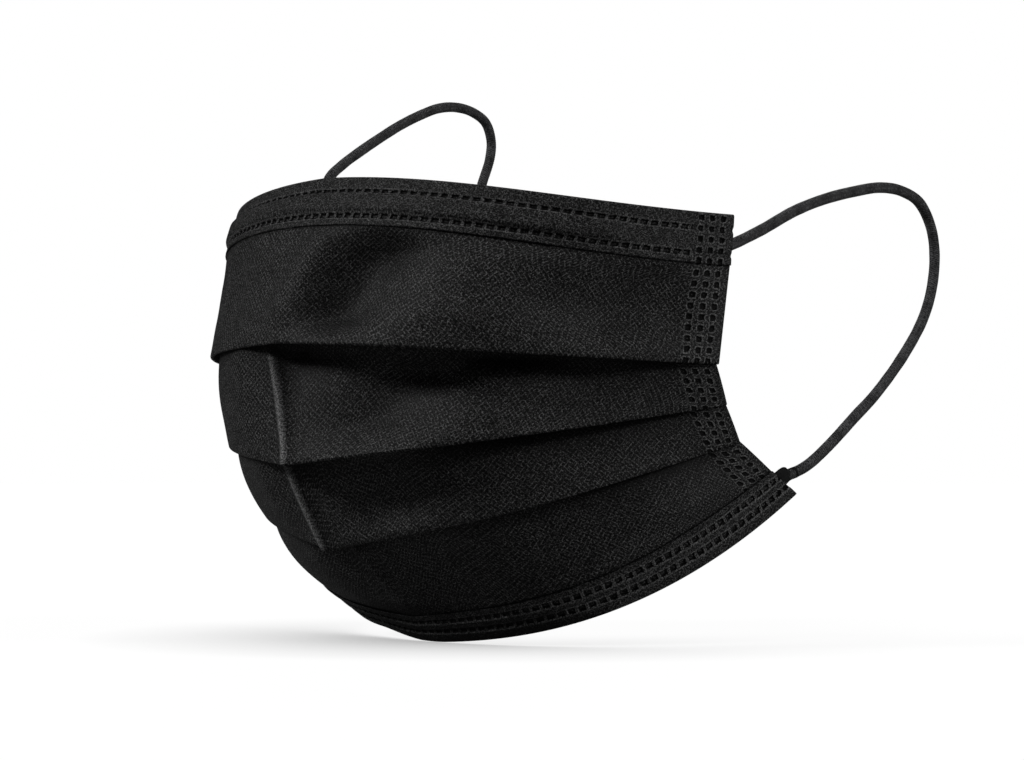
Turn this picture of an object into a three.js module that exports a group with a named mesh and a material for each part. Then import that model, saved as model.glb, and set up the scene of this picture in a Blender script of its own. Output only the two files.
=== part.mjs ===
// Disposable face mask in the form it takes on a face: three knife pleats pulled open over the chin,
// a folded and welded hem along the top and bottom edges, a nose wire in the top hem, and two round
// elastic ear loops whose flattened ends are welded inside the four corners.
// Millimetres. +Z is up, -Y is the wearer's front, +X the wearer's left. The origin is the spot on
// the inside of the top hem that sits on the bridge of the nose.
import * as THREE from "three";

// ---- driving dimensions ----
const columnCount = 40; // facets across the whole width
const wall = 1; // cloth, all layers welded together
const layerGap = 0.3; // clearance between pieces and between folded layers
const layerPitch = wall + layerGap; // from one folded layer to the next

const topHem = { depth: 9.8, flapDepth: 9.4 };
const bottomHem = { depth: 6.6, flapDepth: 6.2 };
// The raised band the wire lies in; it fades out along u, and its two flanks are as wide as slope says
const wireChannel = { from: 2.9, to: 7.9, height: 0.9, reach: 0.62, fadeOut: 0.15, slope: 0.8 };
const noseWire = { from: 4, to: 6.8, thickness: 0.6, reach: 0.58, columns: 24 };

const pleatTuck = { centre: 2, side: 7 }; // how far each fold runs up behind its panel
const pleatStep = { centre: 0.8, side: 0 }; // extra room behind the open fold at the centre line
const tuckSpread = 1.5; // how quickly the tuck deepens from the centre line to the sides

const cord = { diameter: 2.2, sides: 8, steps: 56 };
const weldPad = {
  thickness: 1,
  columns: 3,
  topLeft: { from: 0.9, to: 0.98, below: 4.3, height: 4 },
  topRight: { from: -0.99, to: -0.95, below: 2.6, height: 6.6 },
  bottomLeft: { from: 0.9, to: 0.978, below: 1.4, height: 4 },
  bottomRight: { from: -0.978, to: -0.9, below: 1.4, height: 4 },
};

// ---- the fold lines, from the top edge to the bottom edge, each mirrored about X = 0 ----
// A half line is one cubic. It leaves the centre line level, over frontReach, rising by frontLift, and
// arrives at the side edge along the direction given by turn (from +Y towards +X) and rise, in degrees.
const lineColumns = [
  "name", "centreY", "centreZ", "frontReach", "frontLift",
  "sideX", "sideY", "sideZ", "sideReach", "turn", "rise",
];
const lineRows = [
  ["topEdge", 0.5, 4.5, 33, -1, 59, 49, -3, 35, 11, -1],
  ["topHemLine", -5, -5, 33, 0, 59, 48, -12.5, 35, 12, -1],
  ["pleat1", -11, -26.5, 33, -1, 59, 45, -30.5, 36, 16, -1.5],
  ["pleat2", -8, -49, 32, 2.5, 56.5, 50, -38, 36, 15, 8.5],
  ["pleat3", 4, -64.5, 33, 3.5, 54, 56.5, -45, 39, 10, 15],
  ["bottomHemLine", 23, -78.5, 31, 2.5, 53.5, 66, -50.5, 42, 6, 30],
  ["bottomEdge", 24.5, -83.5, 30, 0.5, 53.5, 73.5, -55, 41, 7, 34],
];
const lines = {};
for (const row of lineRows) {
  const line = {};
  lineColumns.forEach((column, i) => {
    line[column] = row[i];
  });
  lines[line.name] = line;
}

// The right half of the bottom edge curls under the chin: how far back and up, and the values of -u
// between which it grows and fades
const chinCurl = { back: 3.9, up: 1.4, growFrom: -0.09, growTo: 0.2, fadeFrom: 0.55, fadeTo: 0.9 };

// How far each panel bellies out between its two lines, and the facet rows it is cut into
const panels = {
  panel1: { belly: 0.8, rows: 4 },
  panel2: { belly: 0.6, rows: 3 },
  panel3: { belly: 1.4, rows: 3 },
  panel4: { belly: 1.5, rows: 4 },
};

// ---- points on the cloth; u runs from -1 at the right side edge to 1 at the left one ----
function halfLine(line) {
  const turn = THREE.MathUtils.degToRad(line.turn);
  const rise = THREE.MathUtils.degToRad(line.rise);
  const arrival = new THREE.Vector3(
    Math.cos(rise) * Math.sin(turn), Math.cos(rise) * Math.cos(turn), Math.sin(rise));
  const side = new THREE.Vector3(line.sideX, line.sideY, line.sideZ);
  return new THREE.CubicBezierCurve3(
    new THREE.Vector3(0, line.centreY, line.centreZ),
    new THREE.Vector3(line.frontReach, line.centreY, line.centreZ + line.frontLift),
    side.clone().addScaledVector(arrival, -line.sideReach),
    side,
  );
}

function onLine(name, u) {
  const point = halfLine(lines[name]).getPoint(Math.abs(u));
  point.x *= Math.sign(u);
  if (name === "bottomEdge") {
    const { smoothstep } = THREE.MathUtils;
    const curl = smoothstep(-u, chinCurl.growFrom, chinCurl.growTo)
      * (1 - smoothstep(-u, chinCurl.fadeFrom, chinCurl.fadeTo));
    point.y += chinCurl.back * curl;
    point.z += chinCurl.up * curl;
  }
  return point;
}

// Outward normal of the strip between two lines
function stripNormal(upper, lower, u) {
  const nudge = 0.02;
  const after = onLine(upper, Math.min(u + nudge, 1));
  const before = onLine(upper, Math.max(u - nudge, -1));
  const along = after.sub(before);
  const down = onLine(lower, u).sub(onLine(upper, u));
  return new THREE.Vector3().crossVectors(down, along).normalize();
}

// A point in a hem: so far below its upper line, and so far out from the middle of the cloth
function hemPoint(upper, lower, depth, u, below, out) {
  const point = onLine(upper, u).lerp(onLine(lower, u), below / depth);
  return point.addScaledVector(stripNormal(upper, lower, u), out);
}

const topHemPoint = (u, below, out) => hemPoint("topEdge", "topHemLine", topHem.depth, u, below, out);
const bottomHemPoint = (u, below, out) =>
  hemPoint("bottomHemLine", "bottomEdge", bottomHem.depth, u, below, out);

// Rows of one panel between two points, bellied along the outward normal; the first point is left out
function panelRows(from, to, normal, { belly, rows }) {
  const points = [];
  for (let i = 1; i <= rows; i += 1) {
    const t = i / rows;
    const point = from.clone().lerp(to, t);
    points.push(point.addScaledVector(normal, 4 * belly * t * (1 - t)));
  }
  return points;
}

// The fold below a panel: it turns in under the edge, runs up behind the panel, turns down again and
// comes out level with the edge, two layers behind it
function foldRows(edge, panelTop, normal, u) {
  const spread = Math.abs(u) ** tuckSpread;
  const tuck = THREE.MathUtils.lerp(pleatTuck.centre, pleatTuck.side, spread);
  const step = THREE.MathUtils.lerp(pleatStep.centre, pleatStep.side, spread);
  const up = panelTop.clone().sub(edge).normalize();
  const turnIn = edge.clone().addScaledVector(normal, -layerPitch);
  const tuckTop = turnIn.clone().addScaledVector(up, tuck).addScaledVector(normal, -step);
  const turnDown = tuckTop.clone().addScaledVector(normal, -layerPitch);
  const comeOut = turnDown.clone().addScaledVector(up, -tuck);
  return [turnIn, tuckTop, turnDown, comeOut];
}

// One section of the body from the top edge down, through the middle of the cloth
function bodySection(u) {
  const hemLine = onLine("topHemLine", u);
  const points = [topHemPoint(u, layerPitch, 0), hemLine];
  const folds = [
    ["topHemLine", "pleat1", panels.panel1],
    ["pleat1", "pleat2", panels.panel2],
    ["pleat2", "pleat3", panels.panel3],
  ];
  let start = hemLine;
  for (const [upper, lower, panel] of folds) {
    const edge = onLine(lower, u);
    const normal = stripNormal(upper, lower, u);
    points.push(...panelRows(start, edge, normal, panel));
    points.push(...foldRows(edge, onLine(upper, u), normal, u));
    start = points.at(-1);
  }
  const lastNormal = stripNormal("pleat3", "bottomHemLine", u);
  points.push(...panelRows(start, onLine("bottomHemLine", u), lastNormal, panels.panel4));
  points.push(bottomHemPoint(u, bottomHem.depth - layerPitch, 0));
  return points;
}

// ---- solids ----
// A closed cloth wall about a grid of points, grid[column][row]; rows run down the outer face
function clothGeometry(grid, thickness = wall) {
  const columns = grid.length;
  const rows = grid[0].length;
  const within = (n, count) => THREE.MathUtils.clamp(n, 0, count - 1);
  const at = (i, j) => grid[within(i, columns)][within(j, rows)];
  const segmentNormal = (i, j) => {
    const along = at(i + 1, j).clone().sub(at(i - 1, j)).add(at(i + 1, j + 1)).sub(at(i - 1, j + 1));
    return at(i, j + 1).clone().sub(at(i, j)).cross(along).normalize();
  };
  const positions = [];
  for (const side of [1, -1]) {
    for (let i = 0; i < columns; i += 1) {
      for (let j = 0; j < rows; j += 1) {
        const above = segmentNormal(i, Math.max(j - 1, 0));
        const below = segmentNormal(i, Math.min(j, rows - 2));
        const mitre = above.clone().add(below).divideScalar(1 + above.dot(below));
        const point = at(i, j).clone().addScaledVector(mitre, (side * thickness) / 2);
        positions.push(point.x, point.y, point.z);
      }
    }
  }
  const outer = (i, j) => i * rows + j;
  const inner = (i, j) => (columns + i) * rows + j;
  const index = [];
  const quad = (a, b, c, d) => index.push(a, b, c, a, c, d);
  for (let i = 0; i < columns - 1; i += 1) {
    for (let j = 0; j < rows - 1; j += 1) {
      quad(outer(i, j), outer(i, j + 1), outer(i + 1, j + 1), outer(i + 1, j));
      quad(inner(i, j), inner(i + 1, j), inner(i + 1, j + 1), inner(i, j + 1));
    }
    quad(outer(i, 0), outer(i + 1, 0), inner(i + 1, 0), inner(i, 0));
    quad(outer(i, rows - 1), inner(i, rows - 1), inner(i + 1, rows - 1), outer(i + 1, rows - 1));
  }
  const last = columns - 1;
  for (let j = 0; j < rows - 1; j += 1) {
    quad(outer(0, j), inner(0, j), inner(0, j + 1), outer(0, j + 1));
    quad(outer(last, j), outer(last, j + 1), inner(last, j + 1), inner(last, j));
  }
  const geometry = new THREE.BufferGeometry();
  geometry.setAttribute("position", new THREE.Float32BufferAttribute(positions, 3));
  geometry.setIndex(index);
  geometry.computeVertexNormals();
  return geometry;
}

// A grid of sections spaced evenly between two values of u
function sections(from, to, count, section) {
  return Array.from({ length: count + 1 }, (_, i) => section(THREE.MathUtils.lerp(from, to, i / count)));
}

// The top hem: up the inside, over the edge and down the outside, lifted over the wire
function topHemSection(u) {
  const flap = layerPitch;
  const { from, to, height, reach, fadeOut, slope } = wireChannel;
  const fade = 1 - THREE.MathUtils.smoothstep(Math.abs(u), reach, reach + fadeOut);
  const lift = flap + height * fade;
  const profile = [
    [topHem.flapDepth, -flap], [topHem.flapDepth / 2, -flap], [wall / 2, -flap], [wall / 2, flap],
    [from - slope / 2, flap], [from + slope / 2, lift], [to - slope / 2, lift],
    [to + slope / 2, flap], [topHem.flapDepth, flap],
  ];
  return profile.map(([below, out]) => topHemPoint(u, below, out));
}

// The bottom hem: down the outside, under the edge and up the inside
function bottomHemSection(u) {
  const flap = layerPitch;
  const top = bottomHem.depth - bottomHem.flapDepth;
  const fold = bottomHem.depth - wall / 2;
  const profile = [
    [top, flap], [bottomHem.depth / 2, flap], [fold, flap],
    [fold, -flap], [bottomHem.depth / 2, -flap], [top, -flap],
  ];
  return profile.map(([below, out]) => bottomHemPoint(u, below, out));
}

function noseWireSection(u) {
  const out = wall / 2 + layerGap + noseWire.thickness / 2;
  return [topHemPoint(u, noseWire.from, out), topHemPoint(u, noseWire.to, out)];
}

// ---- ear loops: routes chosen along each cord, from its upper weld round to its lower one ----
const leftLoopRoute = [
  [55.6, 47.7, -9.4], [55.8, 51.5, -8.4], [55.5, 61, -5], [55, 71.5, -0.7], [54.5, 81, 2.2], [54, 91, 4.4],
  [53.7, 100, 5.8], [53.3, 107.5, 5.5], [53, 113.5, 3.5], [52.8, 117.5, -1.4], [52.7, 118.7, -7],
  [52.8, 117.5, -13.8], [53, 114.3, -20], [53.4, 107.3, -27.6], [53.8, 97.7, -35.6], [53.4, 92, -39.9],
  [52.8, 84.3, -45.8], [52.3, 78.8, -49.4], [51.6, 75.6, -50.9], [50.6, 72.2, -52], [50, 68.6, -53.1],
];
const rightLoopRoute = [
  [-55.2, 46.4, -5.1], [-55.3, 47.1, 0], [-55.8, 48.2, 6], [-56.1, 50.2, 11.5], [-56, 54, 14.8],
  [-55.7, 58.5, 17.8], [-55.4, 64.3, 21.3], [-55.1, 70.2, 24.6], [-54.8, 76.3, 27.4], [-54.6, 81.1, 29.1],
  [-54.3, 86, 29.7], [-54.1, 91, 29], [-53.9, 94.9, 26.9], [-53.8, 96.5, 23], [-53.8, 96.1, 19],
  [-54, 93.8, 13], [-54.2, 91.5, 6], [-54.3, 89.5, -2], [-54.2, 88, -11], [-54, 86.5, -20],
  [-53.7, 85, -29], [-53.2, 83, -37], [-52.4, 80.3, -44], [-51.4, 77, -49], [-50.6, 73, -51.8],
  [-50.2, 68.7, -53.3],
];

function cordGeometry(route) {
  const points = route.map(([x, y, z]) => new THREE.Vector3(x, y, z));
  const section = new THREE.Shape();
  section.absarc(0, 0, cord.diameter / 2, 0, 2 * Math.PI);
  return new THREE.ExtrudeGeometry(section, {
    extrudePath: new THREE.CatmullRomCurve3(points, false, "centripetal"),
    steps: cord.steps,
    curveSegments: cord.sides / 2,
  });
}

// A flattened cord end lies on the inside of a hem; it covers a span of u and a span below the line
function weldPadGeometry(hemPointAt, span) {
  const out = -(wall / 2 + layerPitch + layerGap + weldPad.thickness / 2);
  const rows = [span.below, span.below + span.height];
  const padSection = (u) => rows.map((below) => hemPointAt(u, below, out));
  const grid = sections(span.from, span.to, weldPad.columns, padSection);
  return clothGeometry(grid, weldPad.thickness);
}

// ---- the assembly ----
const materials = {
  cloth: new THREE.MeshStandardMaterial({ color: 0x1b1b1d, roughness: 0.85, metalness: 0 }),
  elastic: new THREE.MeshStandardMaterial({ color: 0x232326, roughness: 0.8, metalness: 0 }),
  wire: new THREE.MeshStandardMaterial({ color: 0xb9bcc0, roughness: 0.4, metalness: 0.9 }),
};

const mask = new THREE.Group();

function addPiece(name, geometry, material) {
  const piece = new THREE.Mesh(geometry, material);
  piece.name = name;
  mask.add(piece);
}

addPiece("mask_body", clothGeometry(sections(-1, 1, columnCount, bodySection)), materials.cloth);
addPiece("top_hem", clothGeometry(sections(-1, 1, columnCount, topHemSection)), materials.cloth);
addPiece("bottom_hem", clothGeometry(sections(-1, 1, columnCount, bottomHemSection)), materials.cloth);
const wireSections = sections(-noseWire.reach, noseWire.reach, noseWire.columns, noseWireSection);
addPiece("nose_wire", clothGeometry(wireSections, noseWire.thickness), materials.wire);
addPiece("ear_loop_left", cordGeometry(leftLoopRoute), materials.elastic);
addPiece("ear_loop_right", cordGeometry(rightLoopRoute), materials.elastic);
addPiece("loop_weld_top_left", weldPadGeometry(topHemPoint, weldPad.topLeft), materials.elastic);
addPiece("loop_weld_top_right", weldPadGeometry(topHemPoint, weldPad.topRight), materials.elastic);
addPiece("loop_weld_bottom_left", weldPadGeometry(bottomHemPoint, weldPad.bottomLeft), materials.elastic);
addPiece("loop_weld_bottom_right", weldPadGeometry(bottomHemPoint, weldPad.bottomRight), materials.elastic);

export default mask;
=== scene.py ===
import math
import bpy
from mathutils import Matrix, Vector, noise


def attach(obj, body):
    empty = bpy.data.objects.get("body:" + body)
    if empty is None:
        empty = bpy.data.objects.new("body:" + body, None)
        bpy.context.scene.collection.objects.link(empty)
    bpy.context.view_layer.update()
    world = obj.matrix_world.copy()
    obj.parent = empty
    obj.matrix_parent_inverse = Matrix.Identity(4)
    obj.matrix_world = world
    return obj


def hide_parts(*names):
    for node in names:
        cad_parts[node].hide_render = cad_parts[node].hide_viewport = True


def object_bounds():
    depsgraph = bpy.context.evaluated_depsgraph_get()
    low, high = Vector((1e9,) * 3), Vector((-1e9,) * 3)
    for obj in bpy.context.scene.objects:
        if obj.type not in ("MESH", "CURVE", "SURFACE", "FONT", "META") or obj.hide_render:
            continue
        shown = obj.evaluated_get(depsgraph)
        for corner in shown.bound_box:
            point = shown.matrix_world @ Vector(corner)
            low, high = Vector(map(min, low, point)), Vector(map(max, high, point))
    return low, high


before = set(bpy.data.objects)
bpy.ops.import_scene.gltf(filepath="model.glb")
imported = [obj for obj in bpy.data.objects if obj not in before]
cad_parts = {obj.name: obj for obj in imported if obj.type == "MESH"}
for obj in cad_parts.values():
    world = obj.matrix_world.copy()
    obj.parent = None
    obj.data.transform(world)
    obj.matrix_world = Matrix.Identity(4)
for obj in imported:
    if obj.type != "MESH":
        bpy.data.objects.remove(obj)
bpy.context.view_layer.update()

mm = 0.001


def linearColour(hexValue):  # an sRGB hex value as the linear colour that Blender wants
    channels = [int(hexValue[i:i + 2], 16) / 255 for i in (1, 3, 5)]
    linear = [c / 12.92 if c <= 0.04045 else ((c + 0.055) / 1.055) ** 2.4 for c in channels]
    return (*linear, 1)


def mix(a, b, t):
    return a + (b - a) * t


def smoothStep(value, low, high):
    t = max(0.0, min(1.0, (value - low) / (high - low)))
    return t * t * (3 - 2 * t)


# Camera
cameraView = {
    "azimuth": 45.2,  # degrees round from the front, towards the wearer's left
    "elevation": -1.6,
    "distance": 0.6,
    "aim": (5.1 * mm, 44.6 * mm, -32.7 * mm),
    "lens": 106.8,
}


def makeCamera():
    azimuth = math.radians(cameraView["azimuth"])
    elevation = math.radians(cameraView["elevation"])
    back = Vector((math.sin(azimuth) * math.cos(elevation),
                   -math.cos(azimuth) * math.cos(elevation),
                   math.sin(elevation)))
    data = bpy.data.cameras.new("camera")
    data.lens = cameraView["lens"]
    data.sensor_width = 36
    data.clip_start = 0.01
    camera = bpy.data.objects.new("camera", data)
    camera.location = Vector(cameraView["aim"]) + back * cameraView["distance"]
    camera.rotation_euler = (-back).to_track_quat("-Z", "Y").to_euler()
    bpy.context.scene.collection.objects.link(camera)
    bpy.context.scene.camera = camera


makeCamera()
print("camera ready")


# Lines that the cloth is folded and cut along, in mm
# A half line is one cubic from the centre line out to the side edge: centreY, centreZ, frontReach,
# frontLift, sideX, sideY, sideZ, sideReach, and the turn and rise it arrives with in degrees.
foldLines = {
    "topEdge": (0.5, 4.5, 33, -1, 59, 49, -3, 35, 11, -1),
    "topHemLine": (-5, -5, 33, 0, 59, 48, -12.5, 35, 12, -1),
    "pleat1": (-11, -26.5, 33, -1, 59, 45, -30.5, 36, 16, -1.5),
    "pleat2": (-8, -49, 32, 2.5, 56.5, 50, -38, 36, 15, 8.5),
    "pleat3": (4, -64.5, 33, 3.5, 54, 56.5, -45, 39, 10, 15),
    "bottomHemLine": (23, -78.5, 31, 2.5, 53.5, 66, -50.5, 42, 6, 30),
    "bottomEdge": (24.5, -83.5, 30, 0.5, 53.5, 73.5, -55, 41, 7, 34),
}
halfWidth = 87.5  # mm of cloth from the centre line to each side edge
# The right half of the bottom edge curls under the chin: how far back and up, in mm, and the values
# of -u between which it grows and fades
chinCurl = {"back": 3.9, "up": 1.4, "grows": (-0.09, 0.2), "fades": (0.55, 0.9)}
foundPoints = {}


def onLine(name, u):
    # u runs from -1 at the right side edge to 1 at the left one; the result is in mm
    key = (name, round(u, 6))
    if key not in foundPoints:
        centreY, centreZ, frontReach, frontLift, *atSide, sideReach, turn, rise = foldLines[name]
        turn, rise = math.radians(turn), math.radians(rise)
        arrival = Vector((math.cos(rise) * math.sin(turn),
                          math.cos(rise) * math.cos(turn),
                          math.sin(rise)))
        start = Vector((0, centreY, centreZ))
        leave = Vector((frontReach, centreY, centreZ + frontLift))
        side = Vector(atSide)
        arrive = side - arrival * sideReach
        t = abs(u)
        s = 1 - t
        point = start * s ** 3 + leave * 3 * t * s * s + arrive * 3 * t * t * s + side * t ** 3
        point.x = math.copysign(point.x, u)
        if name == "bottomEdge":
            curl = smoothStep(-u, *chinCurl["grows"]) * (1 - smoothStep(-u, *chinCurl["fades"]))
            point += Vector((0, chinCurl["back"], chinCurl["up"])) * curl
        foundPoints[key] = point
    return foundPoints[key].copy()


def outwardNormal(upper, lower, u):  # of the strip of cloth between two lines
    beside = 0.02
    along = onLine(upper, min(u + beside, 1)) - onLine(upper, max(u - beside, -1))
    down = onLine(lower, u) - onLine(upper, u)
    return down.cross(along).normalized()


def spreadColumns(plan):
    # values of u, closer together where the plan's steps are finer; the plan holds (mm out, step in mm)
    samples = 400
    places = [onLine("pleat1", i / samples) for i in range(samples + 1)]
    run = [0.0]
    for a, b in zip(places, places[1:]):
        run.append(run[-1] + (b - a).length)
    distances = [0.0]
    for end, step in plan:
        start = distances[-1]
        count = max(1, round((end - start) / step))
        distances += [start + (end - start) * i / count for i in range(1, count + 1)]
    half = []
    place = 0
    for distance in distances:
        target = min(distance / halfWidth, 1) * run[-1]
        while place < samples - 1 and run[place + 1] < target:
            place += 1
        half.append((place + (target - run[place]) / (run[place + 1] - run[place])) / samples)
    half[-1] = 1.0
    return [-u for u in reversed(half[1:])] + half


# Ear loops: round knitted elastic cord
earLoop = {
    "diameter": 2.2 * mm,
    "sides": 16,
    "ringStep": 0.15 * mm,
    "ribPitch": 0.45 * mm,  # the courses of the knit
    "ribHeight": 0.035 * mm,
    "ribTwist": 0.5,  # courses by which a rib wanders as it goes round
    # a knitted cord is never quite even: share of its radius, and over what length
    "swell": ((0.03, 2.5 * mm), (0.02, 9 * mm)),
}
# The cords' middles in mm, from the upper corner round behind the ear to the lower one
leftLoopRoute = [
    (55.6, 47.7, -9.4), (55.8, 51.5, -8.4), (55.5, 61, -5), (55, 71.5, -0.7), (54.5, 81, 2.2),
    (54, 91, 4.4), (53.7, 100, 5.8), (53.3, 107.5, 5.5), (53, 113.5, 3.5), (52.8, 117.5, -1.4),
    (52.7, 118.7, -7), (52.8, 117.5, -13.8), (53, 114.3, -20), (53.4, 107.3, -27.6),
    (53.8, 97.7, -35.6), (53.4, 92, -39.9), (52.8, 84.3, -45.8), (52.3, 78.8, -49.4),
    (51.6, 75.6, -50.9), (50.6, 72.2, -52), (50, 68.6, -53.1),
]
rightLoopRoute = [
    (-55.2, 46.4, -5.1), (-55.3, 47.1, 0), (-55.8, 48.2, 6), (-56.1, 50.2, 11.5), (-56, 54, 14.8),
    (-55.7, 58.5, 17.8), (-55.4, 64.3, 21.3), (-55.1, 70.2, 24.6), (-54.8, 76.3, 27.4),
    (-54.6, 81.1, 29.1), (-54.3, 86, 29.7), (-54.1, 91, 29), (-53.9, 94.9, 26.9), (-53.8, 96.5, 23),
    (-53.8, 96.1, 19), (-54, 93.8, 13), (-54.2, 91.5, 6), (-54.3, 89.5, -2), (-54.2, 88, -11),
    (-54, 86.5, -20), (-53.7, 85, -29), (-53.2, 83, -37), (-52.4, 80.3, -44), (-51.4, 77, -49),
    (-50.6, 73, -51.8), (-50.2, 68.7, -53.3),
]


def smoothRoute(points, step):  # evenly spaced points on a centripetal curve through the given ones
    ends = [points[0] * 2 - points[1], *points, points[-1] * 2 - points[-2]]
    fine = []
    pieces = 24  # that each stretch between two given points is first cut into
    for p0, p1, p2, p3 in zip(ends, ends[1:], ends[2:], ends[3:]):
        k1 = (p1 - p0).length ** 0.5
        k2 = k1 + (p2 - p1).length ** 0.5
        k3 = k2 + (p3 - p2).length ** 0.5
        for i in range(pieces):
            k = mix(k1, k2, i / pieces)
            a1 = p0.lerp(p1, k / k1)
            a2 = p1.lerp(p2, (k - k1) / (k2 - k1))
            a3 = p2.lerp(p3, (k - k2) / (k3 - k2))
            b1 = a1.lerp(a2, k / k2)
            b2 = a2.lerp(a3, (k - k1) / (k3 - k1))
            fine.append(b1.lerp(b2, (k - k1) / (k2 - k1)))
    fine.append(points[-1].copy())
    run = [0.0]
    for a, b in zip(fine, fine[1:]):
        run.append(run[-1] + (b - a).length)
    count = max(2, round(run[-1] / step))
    even = []
    place = 0
    for i in range(count + 1):
        target = run[-1] * i / count
        while place < len(run) - 2 and run[place + 1] < target:
            place += 1
        span = run[place + 1] - run[place]
        even.append(fine[place].lerp(fine[place + 1], (target - run[place]) / span))
    return even, run[-1]


def deselectAll():
    for each in bpy.context.selected_objects:
        each.select_set(False)


def addObject(name, points, faces, layers, sharpAngle):
    # layers maps a UV map's name to one pair of numbers for each point; the angle is in degrees
    mesh = bpy.data.meshes.new(name)
    mesh.from_pydata(points, [], faces)
    for layerName, places in layers.items():
        layer = mesh.uv_layers.new(name=layerName)
        for loop in mesh.loops:
            layer.data[loop.index].uv = places[loop.vertex_index]
    piece = bpy.data.objects.new(name, mesh)
    bpy.context.scene.collection.objects.link(piece)
    deselectAll()
    piece.select_set(True)
    bpy.context.view_layer.objects.active = piece
    bpy.ops.object.shade_smooth_by_angle(angle=math.radians(sharpAngle))
    return piece


def makeLoop(name, route, node):
    centres, length = smoothRoute([Vector(p) * mm for p in route], earLoop["ringStep"])
    radius = earLoop["diameter"] / 2
    sides = earLoop["sides"]
    points, places, faces = [], [], []
    across = None
    for i, centre in enumerate(centres):
        ahead = centres[min(i + 1, len(centres) - 1)] - centres[max(i - 1, 0)]
        ahead.normalize()
        if across is None:
            across = ahead.cross(Vector((0, 0, 1))).normalized()
        across = (across - ahead * across.dot(ahead)).normalized()
        other = ahead.cross(across)
        distance = length * i / (len(centres) - 1)
        swell = 1 + sum(share * noise.noise(centre / reach) for share, reach in earLoop["swell"])
        for j in range(sides):
            angle = 2 * math.pi * j / sides
            course = distance / earLoop["ribPitch"] + earLoop["ribTwist"] * math.sin(angle * 2)
            groove = 0.5 - 0.5 * math.cos(2 * math.pi * course)
            reach = radius * swell - earLoop["ribHeight"] * groove
            points.append(centre + (across * math.cos(angle) + other * math.sin(angle)) * reach)
            places.append((angle * radius / mm, distance / mm))
    for i in range(len(centres) - 1):
        for j in range(sides):
            a, b = i * sides + j, i * sides + (j + 1) % sides
            faces.append((a, b, b + sides, a + sides))
    faces.append(tuple(reversed(range(sides))))
    faces.append(tuple(range((len(centres) - 1) * sides, len(centres) * sides)))
    loop = addObject(name, points, faces, {"cord": places}, sharpAngle=60)
    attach(loop, "root")
    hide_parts(node)
    return loop, centres, length


# Thermal welds: rows of pressed dots down both sides and of pressed dashes along both hems
sideWeld = {
    "columns": (2.5, 4.9, 7.3),  # mm in from the side edge
    "width": 8.6,
    "pitch": 2.06,
    "first": 1.0,  # mm below the top edge
    "radius": 0.6,
    "flatRadius": 0.25,  # of a dot's level floor
    "slope": 0.12,  # mm that its wall reaches past the radius
    "squareness": 0.6,  # of a dot's drawn outline, from 0 for round to 1 for square
}
hemWeld = {
    "pitch": 2.1,
    "length": 1.3,
    "width": 0.82,
    "topRows": (3.0, 7.9),  # mm below the top edge
    "bottomRows": (1.9, 4.2),  # mm below the hem's upper line
    "slope": 0.2,  # mm that a dash's wall reaches past its ends and sides
    "mapStart": 1050,  # a whole number of pitches, where the middle of the dashes' own map lies
    "mapLow": 900,  # below all of that map and above the others
}


def dotPress(inward, drop):  # 1 in the middle of a pressed dot, 0 clear of them
    row = (drop - sideWeld["first"]) / sideWeld["pitch"]
    away = (row - round(row)) * sideWeld["pitch"]
    nearest = min(abs(inward - column) for column in sideWeld["columns"])
    wall = (sideWeld["flatRadius"], sideWeld["radius"] + sideWeld["slope"])
    return 1 - smoothStep(math.hypot(away, nearest), *wall)


def dashPress(distance, drop, rows):
    step = distance / hemWeld["pitch"]
    along = abs(step - round(step)) * hemWeld["pitch"]
    across = min(abs(drop - row) for row in rows)
    slope, halfLength, halfDepth = hemWeld["slope"], hemWeld["length"] / 2, hemWeld["width"] / 2
    alongPress = 1 - smoothStep(along, halfLength - slope, halfLength + slope)
    acrossPress = 1 - smoothStep(across, halfDepth - slope * 0.75, halfDepth + slope)
    return alongPress * acrossPress


def clothPiece(name, grid, thickness):
    # grid[column][row] is None or a point in mm with its three maps and its thickness from 0 to 1
    numbers = {}
    points, cloth, weld, plies = [], [], [], []
    for i, column in enumerate(grid):
        for j, entry in enumerate(column):
            if entry is None:
                continue
            numbers[i, j] = len(points)
            points.append(entry["point"] * mm)
            cloth.append(entry["cloth"])
            weld.append(entry["weld"])
            plies.append(entry["plies"])
    faces = []
    for i in range(len(grid) - 1):
        left = [j for j in range(len(grid[i])) if (i, j) in numbers]
        right = [j for j in range(len(grid[i])) if (i + 1, j) in numbers]
        shared = [j for j in left if (i + 1, j) in numbers]
        for top, bottom in zip(shared, shared[1:]):
            down = [numbers[i, j] for j in left if top <= j <= bottom]
            up = [numbers[i + 1, j] for j in reversed(right) if top <= j <= bottom]
            faces.append(tuple(down + up))
    piece = addObject(name, points, faces, {"cloth": cloth, "weld": weld}, sharpAngle=50)
    group = piece.vertex_groups.new(name="plies")
    for index, weight in enumerate(plies):
        group.add([index], weight, "REPLACE")
    wall = piece.modifiers.new("wall", "SOLIDIFY")
    wall.thickness = thickness * mm
    wall.offset = 0
    wall.vertex_group = "plies"
    wall.thickness_vertex_group = 0.05  # share of the thickness left where a weld presses hardest
    wall.use_quality_normals = True
    bpy.ops.object.modifier_apply(modifier="wall")
    return piece


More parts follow.
